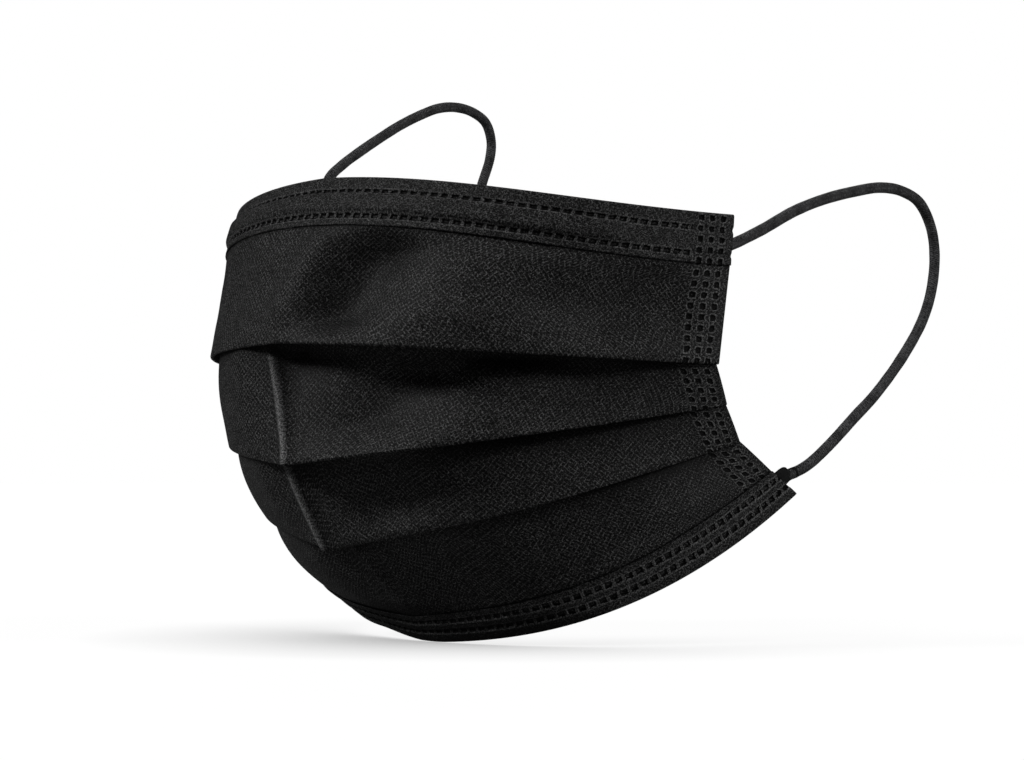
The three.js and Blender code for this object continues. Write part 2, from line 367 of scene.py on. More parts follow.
# The panel: one sheet with three pleats, opened out at the front and welded flat at the sides
panel = {
    "thickness": 0.36,  # mm of three-ply non-woven
    "layerPitch": 0.45,  # mm from one folded layer's middle to the next
    "columns": [(7.2, 0.4), (78.4, 1.2), (87.5, 0.34)],  # mm out to, step in mm
    "fineEdge": 9.0,  # mm in from each side edge that gets every row
    "hemRows": 4,
    "hemSpan": (0.12, 0.9),  # parts of the top hem that the sheet runs through
    "footRows": 3,
    "footSpan": 0.82,  # part of the bottom hem that it reaches down to
    "foldRows": 5,
    "tuckRows": 6,
    "tuck": (2.0, 7.0),  # mm a fold runs up behind its panel, at the centre line and at the side
    "tuckSpread": 1.5,  # how slowly it deepens on the way out
    "tuckClear": 0.8,  # mm that its top keeps clear of the panel's hollow
    # mm that each panel below stands back where the left half's pleats spring open
    "steps": (6.2, 5.0, 4.6),
    # mm round from the centre line: they open between the first two and close between the last two
    "open": (-15, 0, 48, 84),
    "flat": (0.5, 1.7),  # mm that it stands back where they lie flat, near the middle and outside
    "flatGrows": (22, 48),  # mm round from the centre line
    "flatAtWeld": 0.1,
    "weldFade": (1, 12),  # mm in from the side edge over which the welds let the layers part
    "bellyFade": 22,
    "bellySides": (-15, 10),  # mm round from the centre line where right turns to left
    "recover": (60, 8.0),  # mm below the fold over which the panel comes level again, open and flat
    "thinned": 0.85,  # share of the cloth's thickness that a weld dot presses away
}
# upper line, lower line, rows, rows kept away from the sides, belly of the left and right half in mm
panelStrips = [
    ("topHemLine", "pleat1", 56, 4, -0.3, -0.2),
    ("pleat1", "pleat2", 28, 2, -1.3, 0.1),
    ("pleat2", "pleat3", 28, 2, -0.6, 0.5),
    ("pleat3", "bottomHemLine", 32, 2, -0.6, 1.3),
]
# The crease that packing leaves down the middle: how far it stands out at the top and the foot of
# each strip, and how far to the left of the centre line it runs there, in mm
crease = {
    "heights": [(0, 0.2), (2.0, 2.0), (2.0, 1.6), (0.8, 0)],
    "places": [(0, -2), (-6.3, 0.1), (-5.3, -3.0), (-3.0, 0)],
    "reach": (8.0, 3.2),  # mm over which it dies out, on its right and on its left
    "turnOver": (-0.5, 0.5),  # mm from its top, between which the one becomes the other
    "rounding": 0.4,
    "mapStart": 200,  # where its own map's middle lies
    "mapReach": 5,
    "pinch": (0.6, 1.1),  # height and width in mm of the sharp fold along its top
}
# Soft folds in the cloth: strip, from and to as (mm round from the centre line, part of the way
# down), width in mm, height in mm
softFolds = [
    (0, (8, -0.1), (-2, 1.05), 5, 2.4),
    (0, (21, -0.1), (9, 1.0), 8, -5.2),
    (0, (50, -0.1), (36, 1.05), 13, 1.7),
    (0, (70, 0.1), (63, 0.9), 8, -1.2),
    (0, (78, 0.0), (74, 0.9), 7, 0.5),
    (0, (52, 0.47), (83, 0.52), 6.5, -2.0),
    (0, (-22, -0.05), (-20, 0.9), 6, -0.7),
    (0, (-58, 0.0), (-50, 1.0), 9, 1.0),
    (0, (-70, 0.2), (-64, 0.9), 8, -0.8),
    (1, (27, 0.15), (14, 1.0), 9, -3.4),
    (1, (48, 0.2), (38, 1.05), 10, 1.2),
    (1, (62, 0.1), (54, 1.0), 8, -0.5),
    (1, (-58, 0.0), (-52, 1.0), 9, 0.6),
    (2, (17, 0.1), (15, 0.9), 8, -1.8),
    (2, (44, 0.1), (36, 0.9), 9, 0.6),
    (2, (-60, 0.1), (-54, 0.9), 9, -0.5),
    (3, (18, 0.1), (14, 0.9), 7, -0.7),
    (3, (62, 0.1), (70, 0.9), 8, 1.2),
    (3, (40, 0.2), (46, 0.9), 9, -0.6),
    (3, (-54, 0.1), (-62, 0.9), 9, 0.6),
]


def creaseHeight(distance, part, strip):
    away = distance - mix(*crease["places"][strip], part)
    rounded = math.hypot(away, crease["rounding"]) - crease["rounding"]
    tall = mix(*crease["heights"][strip], part)
    pinch, width = crease["pinch"]
    sharp = pinch * math.exp(-(away / width) ** 2) * min(tall, 1)
    reach = mix(*crease["reach"], smoothStep(away, *crease["turnOver"]))
    return tall * math.exp(-rounded / reach) + sharp


def creasePlace(drop, strip, u):  # mm round from the centre line, at this drop from the top edge
    upper, lower = panelStrips[strip][:2]
    start = dropAt(upper, u)
    depth = (onLine(lower, u) - onLine(upper, u)).length
    return mix(*crease["places"][strip], (drop - start) / depth)


def openness(distance):  # 1 where the pleats stand open, 0 where they lie flat
    start, full, close, end = panel["open"]
    return smoothStep(distance, start, full) * (1 - smoothStep(distance, close, end))


ripples = {"height": 0.14, "long": 9, "tall": 7, "apart": 3.7}  # fine waves in the cloth, mm
foldFade = {"side": (3, 12), "top": 0.2, "foot": 0.3}  # mm in from the side, parts of the strip


def foldHeight(distance, part, strip, depth):  # depth is the strip's own, in mm
    height = 0
    place = Vector((distance, part * depth))
    for index, start, end, width, tall in softFolds:
        if index != strip:
            continue
        a, b = Vector((start[0], start[1] * depth)), Vector((end[0], end[1] * depth))
        along = max(0, min(1, (place - a).dot(b - a) / (b - a).length_squared))
        away = (place - a.lerp(b, along)).length
        height += tall * math.exp(-(away / width) ** 2)
    ripple = noise.noise(Vector((distance / ripples["long"],
                                 part * depth / ripples["tall"],
                                 strip * ripples["apart"])))
    fade = smoothStep(halfWidth - abs(distance), *foldFade["side"])
    fade *= smoothStep(part, 0, foldFade["top"]) * smoothStep(1 - part, 0, foldFade["foot"])
    return (height + ripples["height"] * ripple) * fade


def panelSection(u, distance):
    # the sheet's middle from the top edge down, as
    # (point, mm below the top edge, kept, strip that it shows in)
    pitch = panel["layerPitch"]
    out = (abs(distance) / halfWidth) ** panel["tuckSpread"]
    tuck = mix(*panel["tuck"], out)
    opened = openness(distance)
    recover = mix(panel["recover"][1], panel["recover"][0], opened)
    hem = onLine("topHemLine", u) - onLine("topEdge", u)
    rows = []
    for i in range(panel["hemRows"]):
        part = mix(*panel["hemSpan"], i / (panel["hemRows"] - 1))
        rows.append((onLine("topEdge", u) + hem * part, hem.length * part, True, None))
    start = onLine("topHemLine", u)
    setBack = 0
    drop = hem.length
    rows.append((start, drop, True, 0))
    for strip, (upper, lower, count, keep, leftBelly, rightBelly) in enumerate(panelStrips):
        belly = mix(rightBelly, leftBelly * opened, smoothStep(distance, *panel["bellySides"]))
        belly *= smoothStep(halfWidth - abs(distance), 0, panel["bellyFade"])
        normal = outwardNormal(upper, lower, u)
        edge = onLine(lower, u) + normal * creaseHeight(distance, 1, strip)
        depth = (onLine(lower, u) - onLine(upper, u)).length
        for i in range(1, count + 1):
            part = i / count
            point = start.lerp(edge, part)
            swell = 4 * belly * part * (1 - part) + foldHeight(distance, part, strip, depth)
            straight = mix(creaseHeight(distance, 0, strip), creaseHeight(distance, 1, strip), part)
            swell += creaseHeight(distance, part, strip) - straight
            swell += setBack * (1 - part) * (1 - math.exp(-part * depth / recover))
            rows.append((point + normal * swell, drop + depth * part, i % keep == 0, strip))
        drop += depth
        if lower == "bottomHemLine":
            continue
        up = (onLine(upper, u) - onLine(lower, u)).normalized()
        rise = creaseHeight(distance, 0, strip + 1) - creaseHeight(distance, 1, strip)
        closed = mix(*panel["flat"], smoothStep(abs(distance), *panel["flatGrows"]))
        free = smoothStep(halfWidth - abs(distance), *panel["weldFade"])
        closed = mix(panel["flatAtWeld"], closed, free)
        step = mix(closed, panel["steps"][strip], opened)
        for i in range(1, panel["foldRows"] + 1):
            angle = math.pi * i / panel["foldRows"]
            turn = normal * (math.cos(angle) - 1) - up * math.sin(angle)
            rows.append((edge + turn * pitch / 2, drop, True, None))
        back = (step - rise) / 2 + (setBack + panel["tuckClear"]) * tuck / depth
        top = edge - normal * (pitch + back) + up * tuck
        behind = rows[-1][0]
        for i in range(1, panel["tuckRows"]):
            part = i / panel["tuckRows"]
            rows.append((behind.lerp(top, part), drop - tuck * part, True, None))
        for i in range(panel["foldRows"] + 1):
            angle = math.pi * i / panel["foldRows"]
            turn = normal * (math.cos(angle) - 1) + up * math.sin(angle)
            rows.append((top + turn * pitch / 2, drop - tuck, True, None))
        setBack = 2 * pitch + step
        start = edge - normal * (setBack - rise)
        inner = rows[-1][0]
        for i in range(1, panel["tuckRows"] + 1):
            part = i / panel["tuckRows"]
            rows.append((inner.lerp(start, part), drop - tuck * (1 - part), True, None))
    hem = onLine("bottomEdge", u) - onLine("bottomHemLine", u)
    for i in range(1, panel["footRows"] + 1):
        part = i / panel["footRows"] * panel["footSpan"]
        rows.append((onLine("bottomHemLine", u) + hem * part, drop + hem.length * part, True, None))
    return rows


def makePanel():
    us = spreadColumns(panel["columns"])
    distances = columnDistances(us)
    sections = [panelSection(u, s) for u, s in zip(us, distances)]
    rowCount = len(sections[0])
    runs = rowRuns([[row[0] for row in section] for section in sections])
    grid = []
    for i, (u, section) in enumerate(zip(us, sections)):
        fine = halfWidth - abs(distances[i]) <= panel["fineEdge"]
        entries = []
        length = 0
        for j in range(rowCount):
            point, drop, kept, strip = section[j]
            if j:
                length += (point - section[j - 1][0]).length
            if not (kept or fine):
                entries.append(None)
                continue
            inward = toSideEdge(runs, i, j)
            press = dotPress(inward, drop) if strip is not None and inward < sideWeld["width"] else 0
            mark = (inward, drop)
            if strip in (1, 2):
                toCrease = distances[i] - creasePlace(drop, strip, u)
                if abs(toCrease) < crease["mapReach"]:
                    mark = (crease["mapStart"] + toCrease, drop)
            entries.append({
                "point": point,
                "cloth": (runs[i][j], length),
                "weld": mark,
                "plies": 1 - panel["thinned"] * press,
            })
        grid.append(entries)
    body = clothPiece("maskPanel", grid, panel["thickness"])
    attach(body, "root")
    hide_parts("mask_body")
    return body


def columnDistances(us):  # mm round from the centre line, along the first pleat
    middle = len(us) // 2
    places = [onLine("pleat1", u) for u in us]
    run = [0.0]
    for a, b in zip(places, places[1:]):
        run.append(run[-1] + (b - a).length)
    scale = 2 * halfWidth / run[-1]
    return [(r - run[middle]) * scale for r in run]


def rowRuns(sections):  # for every point, mm round from the centre line along its own row
    middle = len(sections) // 2
    runs = [[0.0] * len(sections[0])]
    for left, right in zip(sections, sections[1:]):
        runs.append([run + (b - a).length for run, a, b in zip(runs[-1], left, right)])
    centre = list(runs[middle])
    return [[run - c for run, c in zip(row, centre)] for row in runs]


def toSideEdge(runs, i, j):  # mm from a point to the nearer side edge, along its own row
    end = runs[0][j] if runs[i][j] < 0 else runs[-1][j]
    return abs(end) - abs(runs[i][j])


# The two hems: folded bands welded over the panel's top and bottom edges
topHem = {
    "upper": "topEdge", "lower": "topHemLine", "depth": 9.8, "thickness": 0.3,
    "flapOut": 0.4,  # mm from the middle of the panel to the middle of each flap
    "flapTo": (9.3, 9.75),  # mm below the top edge, inside and outside
    "rows": hemWeld["topRows"],
    # the nose wire's channel: mm below the top edge, mm high, mm out from the centre line, fading
    "channel": (3.4, 7.5), "channelLift": 0.7, "channelReach": 56, "channelFade": 14,
    "channelSlopes": ((-0.5, 0.6), (-0.9, 0.1)),  # mm from its top and from its foot
}
bottomHem = {
    "upper": "bottomHemLine", "lower": "bottomEdge", "depth": 6.6, "thickness": 0.3,
    "flapOut": 0.4, "flapTo": (0.45, 0.15),
    "rows": hemWeld["bottomRows"],
}
hemColumns = [(halfWidth, 0.38)]
# How a flap lies, in mm: a groove along each row of dashes, its free edge pressed down, slight waves
flapLie = {
    "groove": (0.1, 0.6),  # depth, width
    "edge": (0.03, 1.2),  # depth, width
    "waves": (0.07, 4, 3),  # height, length along, length down
    "dash": 0.24,  # depth of a dash outside, and inside
    "dashInside": 0.2,
    "dashByDots": 0.7,  # share of its depth that a dash keeps where the side's dots cross it
    "thinned": 0.6,  # share of the cloth's thickness that a weld presses away
}


def hemPoint(hem, u, below, out):  # in mm
    point = onLine(hem["upper"], u).lerp(onLine(hem["lower"], u), below / hem["depth"])
    return point + outwardNormal(hem["upper"], hem["lower"], u) * out


def hemProfile(hem, overTop):
    # (mm below the hem's upper line, side from -1 inside to 1 outside), from the inner flap's free
    # edge round the fold to the outer flap's
    radius = hem["flapOut"]
    inside, outside = hem["flapTo"]
    fold = radius if overTop else hem["depth"] - radius
    turnWay = -1 if overTop else 1
    insideRows, foldRows, outsideRows = 25, 8, 34
    profile = []
    for i in range(insideRows):
        profile.append((mix(inside, fold, i / insideRows), -1))
    for i in range(foldRows + 1):
        angle = math.pi * i / foldRows
        profile.append((fold + turnWay * radius * math.sin(angle), -math.cos(angle)))
    for i in range(1, outsideRows + 1):
        profile.append((mix(fold, outside, i / outsideRows), 1))
    return profile


def flapHeight(hem, distance, below, press):  # how far a flap stands off, in mm
    out = hem["flapOut"]
    if "channel" in hem:
        start, end = hem["channel"]
        reach = hem["channelReach"]
        fade = 1 - smoothStep(abs(distance), reach, reach + hem["channelFade"])
        atTop, atFoot = hem["channelSlopes"]
        shoulder = smoothStep(below, start + atTop[0], start + atTop[1])
        foot = 1 - smoothStep(below, end + atFoot[0], end + atFoot[1])
        out += hem["channelLift"] * fade * shoulder * foot
    deep, wide = flapLie["groove"]
    for row in hem["rows"]:
        out -= deep * math.exp(-((below - row) / wide) ** 2)
    free = hem["depth"] - below if "channel" in hem else below
    deep, wide = flapLie["edge"]
    out -= deep * (1 - smoothStep(free, 0, wide))
    tall, along, down = flapLie["waves"]
    out += tall * noise.noise(Vector((distance / along, below / down, 7.1)))
    return out - flapLie["dash"] * press


def makeHem(name, hem, node, overTop):
    us = spreadColumns(hemColumns)
    distances = columnDistances(us)
    profile = hemProfile(hem, overTop)
    flat = [[hemPoint(hem, u, below, side * hem["flapOut"]) for below, side in profile] for u in us]
    runs = rowRuns(flat)
    grid = []
    for i, u in enumerate(us):
        entries = []
        length = 0
        sideDrop = 0 if overTop else dropAt("bottomHemLine", u)
        for j, (below, side) in enumerate(profile):
            if j:
                length += (flat[i][j] - flat[i][j - 1]).length
            inward = toSideEdge(runs, i, j)
            inStrip = overTop and inward < sideWeld["width"]
            press = dashPress(runs[i][j], below, hem["rows"])
            if inStrip:
                press = max(press * flapLie["dashByDots"], dotPress(inward, sideDrop + below))
            toRow = min(abs(below - row) for row in hem["rows"])
            out = flapHeight(hem, runs[i][j], below, press) if side > 0.99 else hem["flapOut"]
            if side < -0.99:
                out -= flapLie["dashInside"] * press
            mark = (inward, sideDrop + below) if inStrip else (hemWeld["mapStart"] + runs[i][j], toRow)
            entries.append({
                "point": hemPoint(hem, u, below, side * out),
                "cloth": (runs[i][j], length),
                "weld": mark,
                "plies": 1 - flapLie["thinned"] * press,
            })
        grid.append(entries)
    band = clothPiece(name, grid, hem["thickness"])
    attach(band, "root")
    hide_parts(node)
    return band


def dropAt(lineName, u):  # mm of visible cloth from the top edge down to a line
    names = list(foldLines)
    last = names.index(lineName)
    return sum((onLine(b, u) - onLine(a, u)).length for a, b in zip(names[:last], names[1:last + 1]))


# Nose wire and the flattened, welded ends of the ear loops
noseWire = {
    "below": (4.0, 6.8),  # mm below the top edge
    "out": 0.56,
    "thickness": 0.44,
    "reach": 0.58,  # of the way round to each side
    "stations": 70,
    "slab": 4,
}
loopEnd = {
    "width": 4.2,
    "thickness": 0.75,
    "gap": 0.12,  # mm from the hem's inside
    "step": 0.3,
    "tip": 1.4,  # mm over which its free end rounds off
    "tipSharp": 0.85,
    "toCord": (1.2, 5.5),  # mm before the cord over which it turns round
    "overCord": 1.02,  # times the cord's radius where it grips it
    "slab": 3.6,  # 2 is an ellipse
    "cordSteps": 60,  # of the cord's first steps, among which the nearest is looked for
}
# name: hem, path of (u, mm below its upper line) towards the cord, mm that it runs on past the
# hem's end, and the steps of the cord that it skips and then takes in
loopEndPaths = {
    "loopEndTopLeft": (topHem, [(0.9, 6.6), (0.93, 6.5), (0.955, 6.4)], 0, 8, 14),
    "loopEndTopRight": (topHem, [(-0.962, 9.0), (-0.964, 7.2), (-0.967, 5.6)], 0, 8, 14),
    "loopEndBottomLeft": (bottomHem, [(0.93, 3.3), (0.96, 3.3), (1.0, 3.3)], 1.2, 18, 14),
    "loopEndBottomRight": (bottomHem, [(-0.9, 3.6), (-0.93, 3.4), (-0.955, 3.2)], 0, 8, 14),
}


def lofted(name, stations, roundness, sides=20):
    # stations: (centre in m, across, out, half width, half thickness in mm); roundness is 2 for an
    # ellipse and more for a slab
    points, places, faces = [], [], []
    run = 0
    for i, (centre, across, out, halfAcross, halfOut) in enumerate(stations):
        if i:
            run += (centre - stations[i - 1][0]).length / mm
        power = 2 / roundness[i]
        for j in range(sides):
            angle = 2 * math.pi * j / sides
            x = math.copysign(abs(math.cos(angle)) ** power, math.cos(angle)) * halfAcross
            y = math.copysign(abs(math.sin(angle)) ** power, math.sin(angle)) * halfOut
            points.append(centre + (across * x + out * y) * mm)
            places.append((x, run))
    for i in range(len(stations) - 1):
        for j in range(sides):
            a, b = i * sides + j, i * sides + (j + 1) % sides
            faces.append((a, b, b + sides, a + sides))
    faces.append(tuple(reversed(range(sides))))
    faces.append(tuple(range((len(stations) - 1) * sides, len(stations) * sides)))
    return addObject(name, points, faces, {"cord": places}, sharpAngle=55)


def makeLoopEnd(name, node, cordPoints):
    hem, path, past, skip, take = loopEndPaths[name]
    lie = hem["flapOut"] + hem["thickness"] / 2 + loopEnd["gap"] + loopEnd["thickness"] / 2
    route = [hemPoint(hem, u, below, -lie) * mm for u, below in path]
    if past:
        route.append(route[-1] + (route[-1] - route[-2]).normalized() * past * mm)
    joins = [(point - route[-1]).length for point in cordPoints[:loopEnd["cordSteps"]]]
    meet = joins.index(min(joins)) + skip
    route += [cordPoints[meet], cordPoints[meet + take]]
    centres, length = smoothRoute(route, loopEnd["step"] * mm)
    normal = outwardNormal(hem["upper"], hem["lower"], path[1][0])
    stations, roundness = [], []
    for i, centre in enumerate(centres):
        ahead = (centres[min(i + 1, len(centres) - 1)] - centres[max(i - 1, 0)]).normalized()
        across = ahead.cross(normal).normalized()
        out = across.cross(ahead)
        run = length * i / (len(centres) - 1) / mm
        left = length / mm - run
        tongue = math.sqrt(1 - (1 - min(run / loopEnd["tip"], 1)) ** 2 * loopEnd["tipSharp"])
        toCord = 1 - smoothStep(left, *loopEnd["toCord"])
        radius = earLoop["diameter"] / 2 / mm * loopEnd["overCord"]
        stations.append((centre, across, out,
                         mix(loopEnd["width"] / 2 * tongue, radius, toCord),
                         mix(loopEnd["thickness"] / 2, radius, toCord)))
        roundness.append(mix(loopEnd["slab"], 2, toCord))
    piece = lofted(name, stations, roundness)
    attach(piece, "root")
    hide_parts(node)
    return piece


def makeNoseWire():
    stations = []
    top, foot = noseWire["below"]
    for i in range(noseWire["stations"] + 1):
        u = mix(-noseWire["reach"], noseWire["reach"], i / noseWire["stations"])
        normal = outwardNormal("topEdge", "topHemLine", u)
        down = (onLine("topHemLine", u) - onLine("topEdge", u)).normalized()
        centre = hemPoint(topHem, u, (top + foot) / 2, noseWire["out"]) * mm
        stations.append((centre, down, normal, (foot - top) / 2, noseWire["thickness"] / 2))
    wire = lofted("noseWire", stations, [noseWire["slab"]] * len(stations))
    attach(wire, "root")
    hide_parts("nose_wire")
    return wire


def addNode(material, kind, links=None, **settings):
    node = material.node_tree.nodes.new("ShaderNode" + kind)
    for name, value in settings.items():
        setattr(node, name, value)
    for socket, source in (links or {}).items():
        if isinstance(source, bpy.types.Node):
            source = source.outputs[0]
        if isinstance(source, bpy.types.NodeSocket):
            material.node_tree.links.new(source, node.inputs[socket])
        else:
            node.inputs[socket].default_value = source
    return node


def newMaterial(name):
    material = bpy.data.materials.new(name)
    material.use_nodes = True
    material.node_tree.nodes.clear()
    return material


def finishMaterial(material, links):
    shader = addNode(material, "BsdfPrincipled", links)
    addNode(material, "OutputMaterial", {"Surface": shader.outputs["BSDF"]})


# Spunbond polypropylene: fine melt-spun fibres laid at random, pressed by an engraved roller that
# leaves a lattice of fine raised lines at 45 degrees to the edges
spunbond = {
    "ridge": "#969696",
    "ground": "#0b0b0b",
    "fused": "#030303",
    "paintedGlint": "#c4c4c4",  # painted highlight: the glint put on the rim that each weld pushes up
    "latticePitch": 0.75,  # mm from line to line
    "fibreWidth": 0.2,  # mm; the real fibres are a tenth of this, drawn coarser so that they show
    "fibreLength": 1.1,
    "fibreLays": ((12, 1.3), (71, 5.1), (-40, 9.7)),  # degrees that each layer lies at, and its place
    "sway": 0.35,  # mm that the lattice strays
    "roughness": 0.5,
    "gloss": 0.18,
    "unevenWeld": (-0.08, 0.1),  # mm that a weld's outline strays
    "weldEdge": 0.5,  # what the welds' map reads at the edge of a weld, where its wall begins
    "clear": 2.0,  # and what counts as far from every weld
    # half of that reading, and how high the cloth stands there: a rough floor, a wall and a lip
    "weldShape": ((0.06, 0.15), (0.1, 0.0), (0.26, 0.0), (0.31, 0.85), (0.42, 0.72), (0.5, 0.6)),
    "weldEnds": (0.35, 0.6),  # the height in a weld's very middle and on the open cloth
    "shade": (8, 3.4),  # mm and gamma of the shade painted into the colour deep in the pleats
}


def makeSpunbond(name, lattice, loose):
    # lattice is how clear the roller's lines are, loose how much the fibres show between them
    material = newMaterial(name)
    cloth = addNode(material, "UVMap", uv_map="cloth").outputs[0]
    weld = addNode(material, "UVMap", uv_map="weld").outputs[0]
    sway = addNode(material, "TexNoise", {"Vector": cloth, "Scale": 0.8, "Detail": 2.0})
    swayed = addNode(material, "VectorMath", {0: sway.outputs["Color"], 2: cloth,
                                               1: (spunbond["sway"], spunbond["sway"], 0)},
                     operation="MULTIPLY_ADD")
    turned = addNode(material, "Mapping", {"Vector": swayed, "Rotation": (0, 0, math.radians(45)),
                                           "Scale": (math.pi / spunbond["latticePitch"],) * 3})
    axes = addNode(material, "SeparateXYZ", {0: turned})
    lines = None
    for axis, seed in (("X", 0), ("Y", 1)):
        wave = addNode(material, "Math", {0: axes.outputs[axis]}, operation="COSINE")
        sharp = addNode(material, "Math", {0: wave, 1: 2}, operation="POWER")
        line = addNode(material, "MapRange", {"Value": sharp, "From Min": 0.72, "From Max": 0.99})
        lie = addNode(material, "Mapping", {"Vector": cloth, "Location": (seed * 31, 7, 0)})
        gap = addNode(material, "TexNoise", {"Vector": lie, "Scale": 1.9, "Detail": 1.0})
        whole = addNode(material, "MapRange", {"Value": gap.outputs["Fac"], "From Min": 0.36,
                                               "From Max": 0.62})
        kept = addNode(material, "Math", {0: line, 1: whole}, operation="MULTIPLY")
        if lines is None:
            lines = kept
        else:
            lines = addNode(material, "Math", {0: lines, 1: kept}, operation="MAXIMUM")
    strands = None
    for angle, seed in spunbond["fibreLays"]:
        lie = addNode(material, "Mapping", {"Vector": cloth, "Rotation": (0, 0, math.radians(angle)),
                                            "Location": (seed, seed, 0),
                                            "Scale": (spunbond["fibreLength"],
                                                      spunbond["fibreWidth"], 1)},
                      vector_type="TEXTURE")
        layer = addNode(material, "TexNoise", {"Vector": lie, "Scale": 1.0, "Detail": 2.0,
                                               "Distortion": 0.6})
        if strands is None:
            strands = layer
        else:
            strands = addNode(material, "Math", {0: strands, 1: layer}, operation="MAXIMUM")
    fibres = addNode(material, "MapRange", {"Value": strands, "From Min": 0.54, "From Max": 0.74,
                                            "To Max": loose})
    pressed = addNode(material, "Math", {0: lines, 1: lattice}, operation="MULTIPLY")
    meshed = addNode(material, "Math", {0: pressed, 1: fibres}, operation="MAXIMUM")
    speck = addNode(material, "TexNoise", {"Vector": cloth, "Scale": 3.4, "Detail": 1.0})
    grain = addNode(material, "MapRange", {"Value": speck, "From Min": 0.38, "From Max": 0.62,
                                           "To Min": 0.0, "To Max": 1.35})
    surface = addNode(material, "Math", {0: meshed, 1: grain}, operation="MULTIPLY")
    cloud = addNode(material, "TexNoise", {"Vector": cloth, "Scale": 0.3, "Detail": 3.0})
    density = addNode(material, "MapRange", {"Value": cloud, "From Min": 0.3, "From Max": 0.7,
                                             "To Min": 0.65, "To Max": 1.0})
    face = addNode(material, "Math", {0: surface, 1: density}, operation="MULTIPLY")
    # the welds' own map: mm in from the edge and down from the top in the dotted strips, and further
    # out mm along a hem and away from its nearest row of dashes
    weldAxes = addNode(material, "SeparateXYZ", {0: weld})
    middle = sideWeld["columns"][1]
    half = (sideWeld["columns"][2] - sideWeld["columns"][0]) / 4
    inside = addNode(material, "Math", {0: weldAxes.outputs["X"], 1: middle - 3 * half},
                     operation="MAXIMUM")
    inward = addNode(material, "Math", {0: inside, 1: middle + half, 2: middle - half},
                     operation="WRAP")
    offInward = addNode(material, "Math", {0: inward, 1: middle}, operation="SUBTRACT")
    dropShift = addNode(material, "Math", {0: weldAxes.outputs["Y"], 1: sideWeld["first"]},
                        operation="SUBTRACT")
    offDrop = addNode(material, "Math", {0: dropShift, 1: sideWeld["pitch"] / 2,
                                         2: -sideWeld["pitch"] / 2}, operation="WRAP")
    offset = addNode(material, "CombineXYZ", {"X": offInward, "Y": offDrop})
    circle = addNode(material, "VectorMath", {0: offset}, operation="LENGTH")
    acrossDot = addNode(material, "Math", {0: offInward}, operation="ABSOLUTE")
    downDot = addNode(material, "Math", {0: offDrop}, operation="ABSOLUTE")
    square = addNode(material, "Math", {0: acrossDot, 1: downDot}, operation="MAXIMUM")
    fromDot = addNode(material, "Mix", {0: sideWeld["squareness"], 2: circle.outputs["Value"],
                                        3: square})
    offStitch = addNode(material, "Math", {0: weldAxes.outputs["X"], 1: hemWeld["pitch"] / 2,
                                           2: -hemWeld["pitch"] / 2}, operation="WRAP")
    along = addNode(material, "Math", {0: offStitch}, operation="ABSOLUTE")
    pastEnd = addNode(material, "Math", {0: along, 1: hemWeld["length"] / 2 - spunbond["weldEdge"]},
                      operation="SUBTRACT")
    pastSide = addNode(material, "Math", {0: weldAxes.outputs["Y"],
                                          1: hemWeld["width"] / 2 - spunbond["weldEdge"]},
                       operation="SUBTRACT")
    fromDash = addNode(material, "Math", {0: pastEnd, 1: pastSide}, operation="MAXIMUM")
    inStrip = addNode(material, "Math", {0: weldAxes.outputs["X"], 1: sideWeld["width"]},
                      operation="LESS_THAN")
    onHem = addNode(material, "Math", {0: weldAxes.outputs["X"], 1: hemWeld["mapLow"]},
                    operation="GREATER_THAN")
    away = addNode(material, "Mix", {0: inStrip, 2: spunbond["clear"], 3: fromDot})
    nearWeld = addNode(material, "Mix", {0: onHem, 2: away, 3: fromDash})
    uneven = addNode(material, "TexNoise", {"Vector": cloth, "Scale": 1.1, "Detail": 2.0})
    shift = addNode(material, "MapRange", {"Value": uneven, "From Min": 0.3, "From Max": 0.7,
                                           "To Min": spunbond["unevenWeld"][0],
                                           "To Max": spunbond["unevenWeld"][1]})
    fromWeld = addNode(material, "Math", {0: nearWeld, 1: shift}, operation="ADD")
    scaled = addNode(material, "Math", {0: fromWeld, 1: 0.5}, operation="MULTIPLY")
    weldShape = addNode(material, "ValToRGB", {"Fac": scaled})
    ramp = weldShape.color_ramp
    ramp.interpolation = "B_SPLINE"
    for position, level in spunbond["weldShape"]:
        stop = ramp.elements.new(position)
        stop.color = (level, level, level, 1)
    for stop, level in zip((ramp.elements[0], ramp.elements[-1]), spunbond["weldEnds"]):
        stop.color = (level, level, level, 1)
    welds = weldShape.outputs["Color"]
